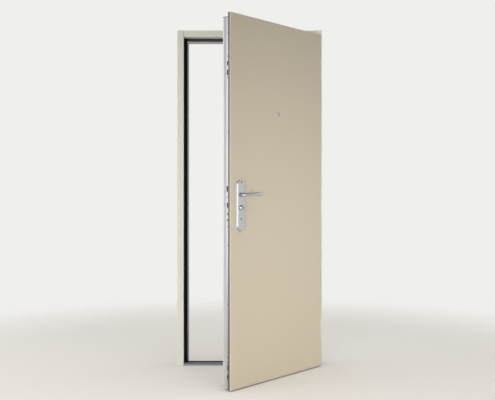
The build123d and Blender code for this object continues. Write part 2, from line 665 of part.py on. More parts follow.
def room_lever():
    """A round neck that turns into a slim arm, which swells upwards into a grip with a level underside."""
    turn_y = PANEL_FRONT - PLATE_THICK - LEVER_STANDOFF
    neck_y = turn_y + LEVER_BEND
    neck = along_y(LEVER_X, LEVER_HEIGHT, NECK_RADIUS, (neck_y, PANEL_FRONT))
    sections = [lever_section(0, neck_y, 0, 0, 2 * NECK_RADIUS, 2 * NECK_RADIUS)]
    for heading in (30, 60, 90):
        share = heading / 90
        x = LEVER_BEND * (1 - cos(radians(heading)))
        y = neck_y - LEVER_BEND * sin(radians(heading))
        z = (ARM_TALL / 2 - ARM_UNDERSIDE) * share
        tall = 2 * NECK_RADIUS + (ARM_TALL - 2 * NECK_RADIUS) * share
        thick = 2 * NECK_RADIUS + (ARM_THICK - 2 * NECK_RADIUS) * share
        sections.append(lever_section(x, y, z, heading, tall, thick))
    tip = GRIP_TALL / 2
    grip_z = tip - ARM_UNDERSIDE
    for x, share in (
        ((LEVER_BEND + LEVER_LENGTH) / 2, 1),
        (LEVER_LENGTH - tip, 1),
        (LEVER_LENGTH - tip / 3, 3 / 4),
        (LEVER_LENGTH, 1 / 4),
    ):
        sections.append(lever_section(x, turn_y, grip_z, 90, share * GRIP_TALL, share * GRIP_THICK))
    return neck + loft(sections)


def lever_pieces():
    inner = room_lever()
    spindle = block(
        (LEVER_X - SPINDLE / 2, LEVER_X + SPINDLE / 2),
        (PANEL_FRONT, BODY_BACK),
        (LEVER_HEIGHT - SPINDLE / 2, LEVER_HEIGHT + SPINDLE / 2),
    )
    return {"room_lever": inner, "landing_lever": to_landing(inner), "lever_spindle": spindle}


def bolt_pieces():
    pieces = {"latch_bolt": latch(0)}
    for name, group in BOLTS.items():
        bars = [bolt(height, tall, 0) for height, tall in group]
        pieces[f"{name}_bolts"] = Compound(children=bars)
    return pieces


def swung(part):
    """A piece of the leaf turned from closed to where the leaf stands."""
    return Pos(HINGE_X, HINGE_Y, 0) * Rot(0, 0, OPEN_ANGLE) * Pos(-HINGE_X, -HINGE_Y, 0) * part


os.makedirs("parts", exist_ok=True)
nodes = frame_pieces()
for name, height in HINGE_HEIGHTS.items():
    nodes[f"{name}_hinge_frame_half"] = hinge_frame_half(height)
for group in (leaf_pieces(), lever_pieces(), bolt_pieces()):
    for name, part in group.items():
        nodes[name] = swung(part)
for name, part in nodes.items():
    export_step(part, f"parts/{name}.step")
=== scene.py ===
import json
from math import cos, pi, radians, sin

import bmesh
import bpy
from mathutils import Matrix, Vector


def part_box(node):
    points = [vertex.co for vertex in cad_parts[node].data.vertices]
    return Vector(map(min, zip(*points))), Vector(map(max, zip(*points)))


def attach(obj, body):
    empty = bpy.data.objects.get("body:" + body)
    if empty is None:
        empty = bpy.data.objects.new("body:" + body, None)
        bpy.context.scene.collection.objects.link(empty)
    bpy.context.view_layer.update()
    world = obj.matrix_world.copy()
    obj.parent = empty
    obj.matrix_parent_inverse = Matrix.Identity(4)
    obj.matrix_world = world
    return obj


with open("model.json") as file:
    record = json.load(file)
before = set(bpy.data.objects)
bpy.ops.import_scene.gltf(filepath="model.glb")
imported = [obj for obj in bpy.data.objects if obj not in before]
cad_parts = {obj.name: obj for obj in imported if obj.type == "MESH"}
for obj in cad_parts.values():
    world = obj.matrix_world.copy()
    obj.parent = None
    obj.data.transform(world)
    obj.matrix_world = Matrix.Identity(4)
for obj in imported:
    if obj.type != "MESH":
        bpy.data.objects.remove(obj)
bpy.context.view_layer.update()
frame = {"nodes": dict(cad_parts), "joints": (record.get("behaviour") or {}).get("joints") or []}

# A security door standing ajar, dressed around its solids. Metres, in the frame of the solids.

MM = 0.001

# How the leaf hangs: pieces on it are made as it stands closed and then swung open
swing = next(joint for joint in frame["joints"] if joint["name"] == "leaf_swing")
HINGE_LINE = Vector(swing["pos_m"])
OPEN_ANGLE = -radians(swing["range_deg"][0])
SWUNG = (
    Matrix.Translation(HINGE_LINE)
    @ Matrix.Rotation(OPEN_ANGLE, 4, "Z")
    @ Matrix.Translation(-HINGE_LINE)
)

# Star sockets of the screws: their lobes, how far these swing in and out, and their share of the head's
# radius and depth
SCREW_SIDES = 36
SOCKET_LOBES = 6
SOCKET_WAVE = 0.16
SOCKET_SHARE = 0.58
SOCKET_DEEP = 0.8

# Screw heads, with their heights above the floor
HEAD_TAPER = 0.86
FACEPLATE_SCREW_RADIUS = 4.2 * MM
FACEPLATE_SCREW_RISE = 0.5 * MM
FACEPLATE_SCREW_HEIGHTS = (0.058, 0.154, 0.182, 0.471, 0.794, 0.898, 1.059, 1.417, 1.714, 1.830, 1.960)
PLATE_SCREW_RADIUS = 4.5 * MM
PLATE_SCREW_FOOT = 2.7 * MM
PLATE_SCREW_RISE = 0.1 * MM
PLATE_SCREW_SINK = 1.8 * MM
PLATE_SCREW_HEIGHTS = (0.939, 1.141)
STRIKE_SCREW_RADIUS = 4.0 * MM
STRIKE_SCREW_RISE = 0.5 * MM
STRIKE_SCREW_INSET = 11 * MM
SILL_SCREW_RADIUS = 4.5 * MM
SILL_SCREW_RISE = 0.4 * MM
SILL_SCREW_INSET = 60 * MM
SILL_SCREW_COUNT = 4

# Hinge barrels
BARREL_RADIUS = 7 * MM
CAP_RISE = 4 * MM
CAP_SIDES = 32
CAP_STEPS = 6

# Door viewer
LENS_RADIUS = 4.4 * MM
LENS_RISE = 1.6 * MM
LENS_SINK = 2.2 * MM
LENS_SIDES = 32
LENS_RINGS = 16

# Cover strips in the grooves of the stiles
GROOVE_SETBACK = 10 * MM
GROOVE_WIDTH = 17 * MM
GROOVE_DEPTH = 2.5 * MM
STRIP_SHY = 0.7 * MM
STRIP_CLEARANCE = 0.2 * MM
STRIP_BEVEL = 0.4 * MM

# The near-black colour painted into the lock jamb's rebate as shade, and how far it reaches round the
# edges
REBATE_SHADE_COLOUR = "121211"
REBATE_SHADE_WRAP = 1.5 * MM

# Sizes of the patterns in the finishes
COAT_CLOUD = 180 * MM
FIBRE_WIDTH = 16 * MM
FIBRE_LENGTH = 260 * MM
PORE_SIZE = 3 * MM
LINE_LENGTH = 400 * MM
DUST_PATCH = 25 * MM
MOULD_GRAIN = 1.5 * MM
FILM_PATCH = 6 * MM

# How far the roughness of a finish strays from its mean
COAT_STRAY = 0.05
METAL_STRAY = 0.07

# The lines of a drawn metal: how far its piece is turned about Z, and the axis that they then run along
UPRIGHT = (0, "Z")
LEVEL = (0, "X")
ALONG_LEAF = (OPEN_ANGLE, "X")
THROUGH_LEAF = (OPEN_ANGLE, "Y")

# Joining and shading of meshes
MERGE = 0.001 * MM
SHARP_ANGLE = radians(32)

# Camera and floor
CAMERA_PLACE = (-0.0128, -5.134, 1.083)
CAMERA_LENS = 58.98
CAMERA_SHIFT_UP = -0.0147
FLOOR_COLOUR = "E2DED8"
FLOOR_RADIUS = 3.4
FLOOR_SOLID = 1.5
FLOOR_SIDES = 96

# Light from all round. A start and an end say how steep the way there is, from -1 straight down to 1
# straight up
LIGHT_COLOUR = "FFFFFF"
BACKDROP_COLOUR = "F7F7F4"
AMBIENT = 0.14
OVERHEAD = 1.45
OVERHEAD_START = 0.6
OVERHEAD_END = 0.8
BACKDROP_LEVEL = 0.93
ROOM_LEVEL = 0.93
CEILING_LEVEL = 0.2
CEILING_START = 0.2
CEILING_END = 0.75
GROUND_LEVEL = 0.32
GROUND_START = -0.15
GROUND_END = -0.5


def srgb(code):
    """A six-digit sRGB hex colour as linear red, green, blue and alpha."""
    values = [int(code[i : i + 2], 16) / 255 for i in (0, 2, 4)]
    linear = [v / 12.92 if v <= 0.04045 else ((v + 0.055) / 1.055) ** 2.4 for v in values]
    return (*linear, 1.0)


def add_node(tree, kind, settings=None, inputs=None):
    """A shader node with its settings, and its inputs set to values or linked to other nodes' outputs."""
    made = tree.nodes.new(kind)
    for name, value in (settings or {}).items():
        setattr(made, name, value)
    for name, value in (inputs or {}).items():
        if isinstance(value, bpy.types.NodeSocket):
            tree.links.new(value, made.inputs[name])
        else:
            made.inputs[name].default_value = value
    return made


def start_finish(name, **constants):
    """A material with its shader, whose constant inputs are set by name."""
    finish = bpy.data.materials.new(name)
    finish.use_nodes = True
    tree = finish.node_tree
    tree.nodes.clear()
    shader = add_node(tree, "ShaderNodeBsdfPrincipled")
    for socket, value in constants.items():
        shader.inputs[socket.replace("_", " ")].default_value = value
    add_node(tree, "ShaderNodeOutputMaterial", inputs={"Surface": shader.outputs[0]})
    return finish, tree, shader


def powder_coat(name, light, dark, peel_mm, roughness, shade_from=None):
    """Stoved powder coat on sheet steel: even and satin, with the faint orange peel of melted powder.
    Real peel is about 2 mm across, too fine for the render, so it is drawn coarser. A corner given as the
    last argument has everything to its right
    and in front of it coloured near black: painted shade for the shadow that lies in a lock jamb's rebate."""
    finish, tree, shader = start_finish(name)
    place = add_node(tree, "ShaderNodeTexCoord").outputs["Object"]
    cloud = add_node(
        tree,
        "ShaderNodeTexNoise",
        inputs={"Vector": place, "Scale": 1 / COAT_CLOUD, "Detail": 2.0},
    )
    tint = add_node(
        tree,
        "ShaderNodeMix",
        {"data_type": "RGBA"},
        {"Factor": cloud.outputs["Fac"], "A": srgb(light), "B": srgb(dark)},
    )
    peel = add_node(
        tree,
        "ShaderNodeTexNoise",
        inputs={"Vector": place, "Scale": 1 / (peel_mm * MM), "Detail": 1.5},
    )
    rough = add_node(
        tree,
        "ShaderNodeMapRange",
        inputs={
            "Value": peel.outputs["Fac"],
            "To Min": roughness - COAT_STRAY,
            "To Max": roughness + COAT_STRAY,
        },
    )
    relief = add_node(
        tree,
        "ShaderNodeBump",
        inputs={"Height": peel.outputs["Fac"], "Strength": 0.12, "Distance": 0.4 * MM},
    )
    coat = tint.outputs["Result"]
    # Painted shade: the rebate behind the corner is coloured near black for the shadow that lies in it
    if shade_from:
        parts = add_node(tree, "ShaderNodeSeparateXYZ", inputs={0: place})
        right = add_node(
            tree,
            "ShaderNodeMath",
            {"operation": "GREATER_THAN"},
            {0: parts.outputs["X"], 1: shade_from[0]},
        )
        front = add_node(
            tree,
            "ShaderNodeMath",
            {"operation": "LESS_THAN"},
            {0: parts.outputs["Y"], 1: shade_from[1]},
        )
        masked = add_node(
            tree,
            "ShaderNodeMath",
            {"operation": "MULTIPLY"},
            {0: right.outputs[0], 1: front.outputs[0]},
        )
        coat = add_node(
            tree,
            "ShaderNodeMix",
            {"data_type": "RGBA"},
            {"Factor": masked.outputs[0], "A": coat, "B": srgb(REBATE_SHADE_COLOUR)},
        ).outputs["Result"]
    tree.links.new(coat, shader.inputs["Base Color"])
    tree.links.new(rough.outputs["Result"], shader.inputs["Roughness"])
    tree.links.new(relief.outputs["Normal"], shader.inputs["Normal"])
    return finish


def matt_laminate(name, light, dark):
    """Matt melamine laminate on board: one quiet colour with a long upright fibre and a fine dry pore.
    Real pores are finer than the render can show, so they are drawn coarser."""
    finish, tree, shader = start_finish(name, Specular_IOR_Level=0.4)
    place = add_node(tree, "ShaderNodeTexCoord").outputs["Object"]
    drawn = add_node(
        tree,
        "ShaderNodeMapping",
        inputs={"Vector": place, "Scale": (1 / FIBRE_WIDTH, 1 / FIBRE_WIDTH, 1 / FIBRE_LENGTH)},
    )
    fibre = add_node(
        tree,
        "ShaderNodeTexNoise",
        inputs={"Vector": drawn.outputs[0], "Scale": 1.0, "Detail": 4.0},
    )
    tint = add_node(
        tree,
        "ShaderNodeMix",
        {"data_type": "RGBA"},
        {"Factor": fibre.outputs["Fac"], "A": srgb(light), "B": srgb(dark)},
    )
    pore = add_node(
        tree,
        "ShaderNodeTexNoise",
        inputs={"Vector": place, "Scale": 1 / PORE_SIZE, "Detail": 3.0},
    )
    rough = add_node(
        tree,
        "ShaderNodeMapRange",
        inputs={"Value": pore.outputs["Fac"], "To Min": 0.5, "To Max": 0.64},
    )
    relief = add_node(
        tree,
        "ShaderNodeBump",
        inputs={"Height": pore.outputs["Fac"], "Strength": 0.1, "Distance": 0.15 * MM},
    )
    tree.links.new(tint.outputs["Result"], shader.inputs["Base Color"])
    tree.links.new(rough.outputs["Result"], shader.inputs["Roughness"])
    tree.links.new(relief.outputs["Normal"], shader.inputs["Normal"])
    return finish


def drawn_metal(name, light, dark, roughness, line_mm, lines):
    """Metal with fine lines along its length from drawing or brushing: a soft sheen, streaked one way.
    Real lines are finer than a pixel of the render, so they are drawn about as wide as one."""
    finish, tree, shader = start_finish(name, Metallic=1.0)
    place = add_node(tree, "ShaderNodeTexCoord").outputs["Object"]
    turn, run = lines
    across = 1 / (line_mm * MM)
    scale = [1 / LINE_LENGTH if axis == run else across for axis in "XYZ"]
    turned = add_node(
        tree,
        "ShaderNodeMapping",
        {"vector_type": "TEXTURE"},
        {"Vector": place, "Rotation": (0.0, 0.0, turn)},
    )
    drawn = add_node(tree, "ShaderNodeMapping", inputs={"Vector": turned.outputs[0], "Scale": scale})
    streak = add_node(
        tree,
        "ShaderNodeTexNoise",
        inputs={"Vector": drawn.outputs[0], "Scale": 1.0, "Detail": 3.0},
    )
    tint = add_node(
        tree,
        "ShaderNodeMix",
        {"data_type": "RGBA"},
        {"Factor": streak.outputs["Fac"], "A": srgb(light), "B": srgb(dark)},
    )
    rough = add_node(
        tree,
        "ShaderNodeMapRange",
        inputs={
            "Value": streak.outputs["Fac"],
            "To Min": roughness - METAL_STRAY,
            "To Max": roughness + METAL_STRAY,
        },
    )
    relief = add_node(
        tree,
        "ShaderNodeBump",
        inputs={"Height": streak.outputs["Fac"], "Strength": 0.06, "Distance": 0.1 * MM},
    )
    tree.links.new(tint.outputs["Result"], shader.inputs["Base Color"])
    tree.links.new(rough.outputs["Result"], shader.inputs["Roughness"])
    tree.links.new(relief.outputs["Normal"], shader.inputs["Normal"])
    return finish


def seal_rubber(name, light, dark):
    """Extruded rubber: matt, with a thin uneven film of dust."""
    finish, tree, shader = start_finish(name, Specular_IOR_Level=0.15)
    place = add_node(tree, "ShaderNodeTexCoord").outputs["Object"]
    dust = add_node(
        tree,
        "ShaderNodeTexNoise",
        inputs={"Vector": place, "Scale": 1 / DUST_PATCH, "Detail": 5.0},
    )
    tint = add_node(
        tree,
        "ShaderNodeMix",
        {"data_type": "RGBA"},
        {"Factor": dust.outputs["Fac"], "A": srgb(light), "B": srgb(dark)},
    )
    rough = add_node(
        tree,
        "ShaderNodeMapRange",
        inputs={"Value": dust.outputs["Fac"], "To Min": 0.7, "To Max": 0.9},
    )
    tree.links.new(tint.outputs["Result"], shader.inputs["Base Color"])
    tree.links.new(rough.outputs["Result"], shader.inputs["Roughness"])
    return finish


def moulded_nylon(name, light, dark):
    """Moulded nylon: dull, with the grain of a spark-eroded mould, which is drawn coarser than it is."""
    finish, tree, shader = start_finish(name, Roughness=0.55)
    place = add_node(tree, "ShaderNodeTexCoord").outputs["Object"]
    grain = add_node(
        tree,
        "ShaderNodeTexNoise",
        inputs={"Vector": place, "Scale": 1 / MOULD_GRAIN, "Detail": 2.0},
    )
    tint = add_node(
        tree,
        "ShaderNodeMix",
        {"data_type": "RGBA"},
        {"Factor": grain.outputs["Fac"], "A": srgb(light), "B": srgb(dark)},
    )
    relief = add_node(
        tree,
        "ShaderNodeBump",
        inputs={"Height": grain.outputs["Fac"], "Strength": 0.15, "Distance": 0.1 * MM},
    )
    tree.links.new(tint.outputs["Result"], shader.inputs["Base Color"])
    tree.links.new(relief.outputs["Normal"], shader.inputs["Normal"])
    return finish


def viewer_glass(name, light, dark):
    """The dark coated front lens of a door viewer: black glass with a clear hard gloss."""
    finish, tree, shader = start_finish(
        name, Roughness=0.05, IOR=1.52, Coat_Weight=0.6, Coat_Roughness=0.02
    )
    place = add_node(tree, "ShaderNodeTexCoord").outputs["Object"]
    film = add_node(
        tree,
        "ShaderNodeTexNoise",
        inputs={"Vector": place, "Scale": 1 / FILM_PATCH, "Detail": 1.0},
    )
    tint = add_node(
        tree,
        "ShaderNodeMix",
        {"data_type": "RGBA"},
        {"Factor": film.outputs["Fac"], "A": srgb(light), "B": srgb(dark)},
    )
    tree.links.new(tint.outputs["Result"], shader.inputs["Base Color"])
    return finish


seal_low, seal_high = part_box("lock_side_seal")
REBATE_CORNER = (seal_low.x - REBATE_SHADE_WRAP, seal_high.y + REBATE_SHADE_WRAP)

# Each finish has its lighter and darker colour. A coat then has the width of its peel in millimetres and
# its roughness, and a metal its roughness, the width of its lines in millimetres and the way they run.
FINISHES = {
    "stone_paint": powder_coat("stone_powder_coat", "E4E2D5", "DEDCCF", 9, 0.42),
    # The lock jamb's coat carries painted shade: its rebate is coloured near black
    "lock_jamb_paint": powder_coat(
        "stone_powder_coat_painted_rebate_shade", "E4E2D5", "DEDCCF", 9, 0.42, REBATE_CORNER
    ),
    # The strike plates are coloured near black as painted shade, to match the shaded rebate they sit in
    "rebate_shade_black": powder_coat("strike_plate_painted_rebate_shade", "1C1C1C", "151515", 7, 0.5),
    "laminate": matt_laminate("sand_laminate", "CEC3AE", "CABFA9"),
    "lip_metal": drawn_metal("dark_lacquered_steel_edge", "707173", "656668", 0.34, 5, UPRIGHT),
    # The stiles are the rails' aluminium painted lighter: a painted highlight for the bright strip along
    # the lock edge
    "aluminium_upright_painted_light": drawn_metal(
        "satin_anodised_aluminium_painted_lighter_upright", "DADCDF", "D0D3D6", 0.52, 5, UPRIGHT
    ),
    "aluminium_leaf_level": drawn_metal(
        "satin_anodised_aluminium_rail", "C9CBCE", "BDC0C3", 0.36, 5, ALONG_LEAF
    ),
    # The upright trims are the head trim's aluminium painted darker: painted shade that tones down their
    # reflection
    "trim_upright_painted_darker": drawn_metal("grey_anodised_aluminium_painted_darker_upright", "8E9093", "828487", 0.42, 5, UPRIGHT),
    "trim_level": drawn_metal("grey_anodised_aluminium_level", "AEB0B3", "A2A4A7", 0.42, 5, LEVEL),
    "sill": drawn_metal("trodden_mill_aluminium", "9EA0A5", "8E9096", 0.46, 5, LEVEL),
    "steel": drawn_metal("brushed_stainless_steel", "C0C2C4", "B6B8BA", 0.3, 4, UPRIGHT),
    # Bolts coloured near black: painted shade for their recesses in the faceplate
    "bolt_steel": drawn_metal("bolt_steel_painted_hole_shade", "181817", "101010", 0.42, 4, ALONG_LEAF),
    "latch_steel": drawn_metal("nickel_plated_latch", "DADCDE", "CED0D2", 0.66, 4, UPRIGHT),
    "handle": drawn_metal("satin_nickel_plate", "CBCED1", "C0C4C8", 0.2, 4, UPRIGHT),
    "bright_nickel": drawn_metal("polished_nickel_plate", "CFD2D5", "C6C9CC", 0.16, 6, UPRIGHT),
    "brass": drawn_metal("nickel_plated_brass", "8E8A80", "7C786E", 0.3, 3, THROUGH_LEAF),
    # Screw heads coloured dark grey, partly painted shade for their sunk holes
    "screw_steel": drawn_metal("screw_steel_painted_hole_shade", "5C5D5F", "4C4D4F", 0.4, 3, UPRIGHT),
    # Painted shade: the near-black floor and walls of the screw sockets
    "socket": drawn_metal("screw_socket_painted_shade", "2B2B2C", "1D1D1E", 0.5, 2, UPRIGHT),
    "rubber": seal_rubber("extruded_black_rubber", "232424", "101111"),
    # The head's seal is the jamb seals' black rubber painted lighter: painted light, as it stands lit
    # where the jamb seals lie in shade
    "head_seal_painted_light": seal_rubber("black_rubber_painted_lighter_head", "4A4D4F", "3C3F41"),
    "nylon": moulded_nylon("moulded_grey_nylon", "A2A3A5", "96979A"),
    # The top caps are the foot caps' nylon painted darker: painted shade along the stiles' tops
    "top_cap_painted_shade": moulded_nylon("moulded_grey_nylon_painted_top_shade", "66686A", "5B5D5F"),
    "cover_nylon": moulded_nylon("moulded_pale_grey_nylon", "C4C6C9", "B9BBBE"),
    "lens": viewer_glass("coated_viewer_glass", "20242B", "151A22"),
}

NODE_FINISHES = {
    "stone_paint": (
        "hinge_jamb frame_head lower_hinge_frame_half middle_hinge_frame_half upper_hinge_frame_half "
        "lower_hinge_leaf_half middle_hinge_leaf_half upper_hinge_leaf_half"
    ),
    "lock_jamb_paint": "lock_jamb",
    # Strike plates coloured near black: painted shade of the rebate
    "rebate_shade_black": "upper_strike_plate main_strike_plate lower_strike_plate",
    "laminate": "front_panel rear_panel",
    "lip_metal": "lip_tray",
    # Stiles painted lighter than the rails: painted highlight
    "aluminium_upright_painted_light": "lock_stile hinge_stile",
    "aluminium_leaf_level": "top_rail bottom_rail",
    # Upright trims painted darker than the head trim: painted shade
    "trim_upright_painted_darker": "lock_side_stop_trim hinge_side_stop_trim",
    "trim_level": "head_stop_trim",
    "sill": "threshold",
    "steel": "lock_faceplate lever_spindle",
    # The bolts' near-black colour is painted shade for their holes
    "bolt_steel": "upper_bolts main_bolts lower_bolts",
    "latch_steel": "latch_bolt",
    "handle": "room_handle_plate landing_handle_plate room_lever landing_lever door_viewer",
    "bright_nickel": "room_cylinder_guard landing_cylinder_guard",
    "brass": "lock_cylinder",
    "rubber": "lock_side_seal hinge_side_seal threshold_seal",
    # The head seal's lighter grey is painted light on the same black rubber
    "head_seal_painted_light": "head_seal",
    "nylon": "lock_stile_foot_cap hinge_stile_foot_cap",
    # Top caps painted darker than the foot caps: painted shade
    "top_cap_painted_shade": "lock_stile_top_cap hinge_stile_top_cap",
}


def dress_solids():
    """Gives each solid its finish."""
    for finish, names in NODE_FINISHES.items():
        for name in names.split():
            for place in frame["nodes"][name].material_slots:
                place.material = FINISHES[finish]


def closed_box(node):
    """The lowest and highest corner of a node on the leaf, as the leaf stands closed."""
    back = SWUNG.inverted()
    corners = [back @ vertex.co for vertex in frame["nodes"][node].data.vertices]
    low = Vector([min(corner[axis] for corner in corners) for axis in range(3)])
    high = Vector([max(corner[axis] for corner in corners) for axis in range(3)])
    return low, high


def hand_over(name, bm, body, finishes, swung):
    """Closes a mesh, turns its faces outwards, and lets it ride on its body."""
    bmesh.ops.remove_doubles(bm, verts=bm.verts, dist=MERGE)
    bmesh.ops.recalc_face_normals(bm, faces=bm.faces)
    if swung:
        bmesh.ops.transform(bm, matrix=SWUNG, verts=bm.verts)
    mesh = bpy.data.meshes.new(name)
    bm.to_mesh(mesh)
    bm.free()
    for finish in finishes:
        mesh.materials.append(FINISHES[finish])
    mesh.shade_smooth()
    mesh.set_sharp_from_angle(angle=SHARP_ANGLE)
    made = bpy.data.objects.new(name, mesh)
    bpy.context.scene.collection.objects.link(made)
    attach(made, body)


def facing(direction, point):
    """A place at a point whose Z looks along a direction."""
    turn = Vector(direction).to_track_quat("Z", "Y").to_matrix().to_4x4()
    return Matrix.Translation(point) @ turn


def place_new(bm, old, place):
    """Moves to its place what a mesh has gained since a set of its old vertices was taken."""
    new = [vert for vert in bm.verts if vert not in old]
    bmesh.ops.transform(bm, matrix=place, verts=new)


def add_screw(bm, place, foot, radius, sink, rise):
    """A screw head from its foot below the surface to its face above it, with a star socket sunk in it."""
    old = set(bm.verts)
    made = bmesh.ops.create_cone(
        bm,
        cap_ends=True,
        segments=SCREW_SIDES,
        radius1=foot,
        radius2=radius,
        depth=sink + rise,
    )
    bmesh.ops.translate(bm, vec=(0, 0, (rise - sink) / 2), verts=made["verts"])
    faces = [face for vert in made["verts"] for face in vert.link_faces]
    top = max(faces, key=lambda face: face.calc_center_median().z)
    bmesh.ops.inset_region(bm, faces=[top], thickness=radius * (1 - SOCKET_SHARE))
    for vert in top.verts:
        angle = Vector((1, 0)).angle_signed(vert.co.xy)
        vert.co.xy *= 1 + SOCKET_WAVE * cos(SOCKET_LOBES * angle)
    sunk = bmesh.ops.extrude_discrete_faces(bm, faces=[top])["faces"][0]
    for vert in sunk.verts:
        vert.co.z -= (rise + sink) * SOCKET_DEEP
    # Painted shade in the sunk socket: its floor and walls take the near-black colour
    sunk.material_index = 1
    for edge in sunk.edges:
        for face in edge.link_faces:
            face.material_index = 1
    place_new(bm, old, place)


def add_raised_screw(bm, place, radius, rise):
    """A low head that stands on the surface, as far above it as its foot is below."""
    add_screw(bm, place, radius, radius * HEAD_TAPER, rise, rise)


def faceplate_screws():
    """Low-headed screws along the faceplate, between and beside the cut-outs for the bolts."""
    low, high = closed_box("lock_faceplate")
    bm = bmesh.new()
    for height in FACEPLATE_SCREW_HEIGHTS:
        point = Vector((low.x, (low.y + high.y) / 2, height))
        add_raised_screw(bm, facing((-1, 0, 0), point), FACEPLATE_SCREW_RADIUS, FACEPLATE_SCREW_RISE)
    hand_over("faceplate_screws", bm, "leaf", ("screw_steel", "socket"), swung=True)


def plate_screws():
    """The two sunk screws of the room's handle plate. The cylinder guard's back gives the plate's face."""
    low, high = closed_box("room_handle_plate")
    plate_face = closed_box("room_cylinder_guard")[1].y
    bm = bmesh.new()
    for height in PLATE_SCREW_HEIGHTS:
        point = Vector(((low.x + high.x) / 2, plate_face, height))
        place = facing((0, -1, 0), point)
        add_screw(bm, place, PLATE_SCREW_FOOT, PLATE_SCREW_RADIUS, PLATE_SCREW_SINK, PLATE_SCREW_RISE)
    hand_over("room_plate_screws", bm, "leaf", ("screw_steel", "socket"), swung=True)


def strike_screws():
    """A screw near each end of each strike plate."""
    bm = bmesh.new()
    for unit in ("upper", "main", "lower"):
        low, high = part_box(f"{unit}_strike_plate")
        for height in (low.z + STRIKE_SCREW_INSET, high.z - STRIKE_SCREW_INSET):
            point = Vector((high.x, (low.y + high.y) / 2, height))
            add_raised_screw(bm, facing((1, 0, 0), point), STRIKE_SCREW_RADIUS, STRIKE_SCREW_RISE)
    # The strike screws take the near-black socket colour whole: painted shade, like the strike plates
    hand_over("strike_screws", bm, "frame", ("socket", "socket"), swung=False)


def sill_screws():
    """Screws along the front of the threshold, before its seal."""
    low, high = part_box("threshold")
    seal_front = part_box("threshold_seal")[0].y
    span = high.x - low.x - 2 * SILL_SCREW_INSET
    bm = bmesh.new()
    for count in range(SILL_SCREW_COUNT):
        x = low.x + SILL_SCREW_INSET + span * count / (SILL_SCREW_COUNT - 1)
        point = Vector((x, (low.y + seal_front) / 2, high.z))
        add_raised_screw(bm, facing((0, 0, 1), point), SILL_SCREW_RADIUS, SILL_SCREW_RISE)
    hand_over("threshold_screws", bm, "frame", ("steel", "socket"), swung=False)


def add_dome(bm, place, radius, rise):
    """A low dome on the XY plane, spun from a quarter of an ellipse."""
    old = set(bm.verts)
    profile = []
    for step in range(CAP_STEPS + 1):
        angle = pi / 2 * step / CAP_STEPS
        profile.append(bm.verts.new((radius * cos(angle), 0, rise * sin(angle))))
    edges = [bm.edges.new(pair) for pair in zip(profile, profile[1:])]
    bmesh.ops.spin(
        bm,
        geom=profile + edges,
        axis=(0, 0, 1),
        cent=(0, 0, 0),
        angle=2 * pi,
        steps=CAP_SIDES,
        use_merge=True,
    )
    place_new(bm, old, place)


def hinge_caps():
    """Domed ends on the hinge barrels: the lower ones on the frame, the upper ones on the leaf."""
    for body, up in (("frame", -1), ("leaf", 1)):
        bm = bmesh.new()
        for name in ("lower", "middle", "upper"):
            low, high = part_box(f"{name}_hinge_{body}_half")
            height = high.z if up > 0 else low.z
            point = Vector((HINGE_LINE.x, HINGE_LINE.y, height))
            add_dome(bm, facing((0, 0, up), point), BARREL_RADIUS, CAP_RISE)
        hand_over(f"hinge_{body}_caps", bm, body, ("stone_paint",), swung=False)


def viewer_lenses():
    """The lens in each end of the viewer: a shallow dome of glass set in the flange."""
    low, high = closed_box("door_viewer")
    middle = (low + high) / 2
    bm = bmesh.new()
    for y, out in ((low.y, -1), (high.y, 1)):
        ball = bmesh.ops.create_uvsphere(
            bm,
            u_segments=LENS_SIDES,
            v_segments=LENS_RINGS,
            radius=LENS_RADIUS,
        )
        bmesh.ops.scale(bm, vec=(1, 1, LENS_RISE / LENS_RADIUS), verts=ball["verts"])
        point = Vector((middle.x, y - out * LENS_SINK, middle.z))
        bmesh.ops.transform(bm, matrix=facing((0, out, 0), point), verts=ball["verts"])
    hand_over("viewer_lenses", bm, "leaf", ("lens",), swung=True)


def groove_strips():
    """Pale nylon cover strips that lie in the grooves along both stiles, a little below their faces."""
    low, high = closed_box("lock_stile")
    hinge_side = closed_box("hinge_stile")[1].x
    back = high.y - GROOVE_SETBACK
    front = back - GROOVE_WIDTH
    bm = bmesh.new()
    for face, inwards in ((low.x, 1), (hinge_side, -1)):
        outer = face + inwards * STRIP_SHY
        inner = face + inwards * GROOVE_DEPTH
        size = (abs(inner - outer), GROOVE_WIDTH - 2 * STRIP_CLEARANCE, high.z - low.z)
        middle = ((inner + outer) / 2, (front + back) / 2, (high.z + low.z) / 2)
        bar = bmesh.ops.create_cube(bm, size=1.0)
        bmesh.ops.scale(bm, vec=size, verts=bar["verts"])
        bmesh.ops.translate(bm, vec=middle, verts=bar["verts"])
    bmesh.ops.bevel(
        bm,
        geom=bm.edges[:],
        offset=STRIP_BEVEL,
        affect="EDGES",
        segments=2,
        profile=0.5,
        material=-1,
    )
    hand_over("stile_groove_strips", bm, "leaf", ("cover_nylon",), swung=True)


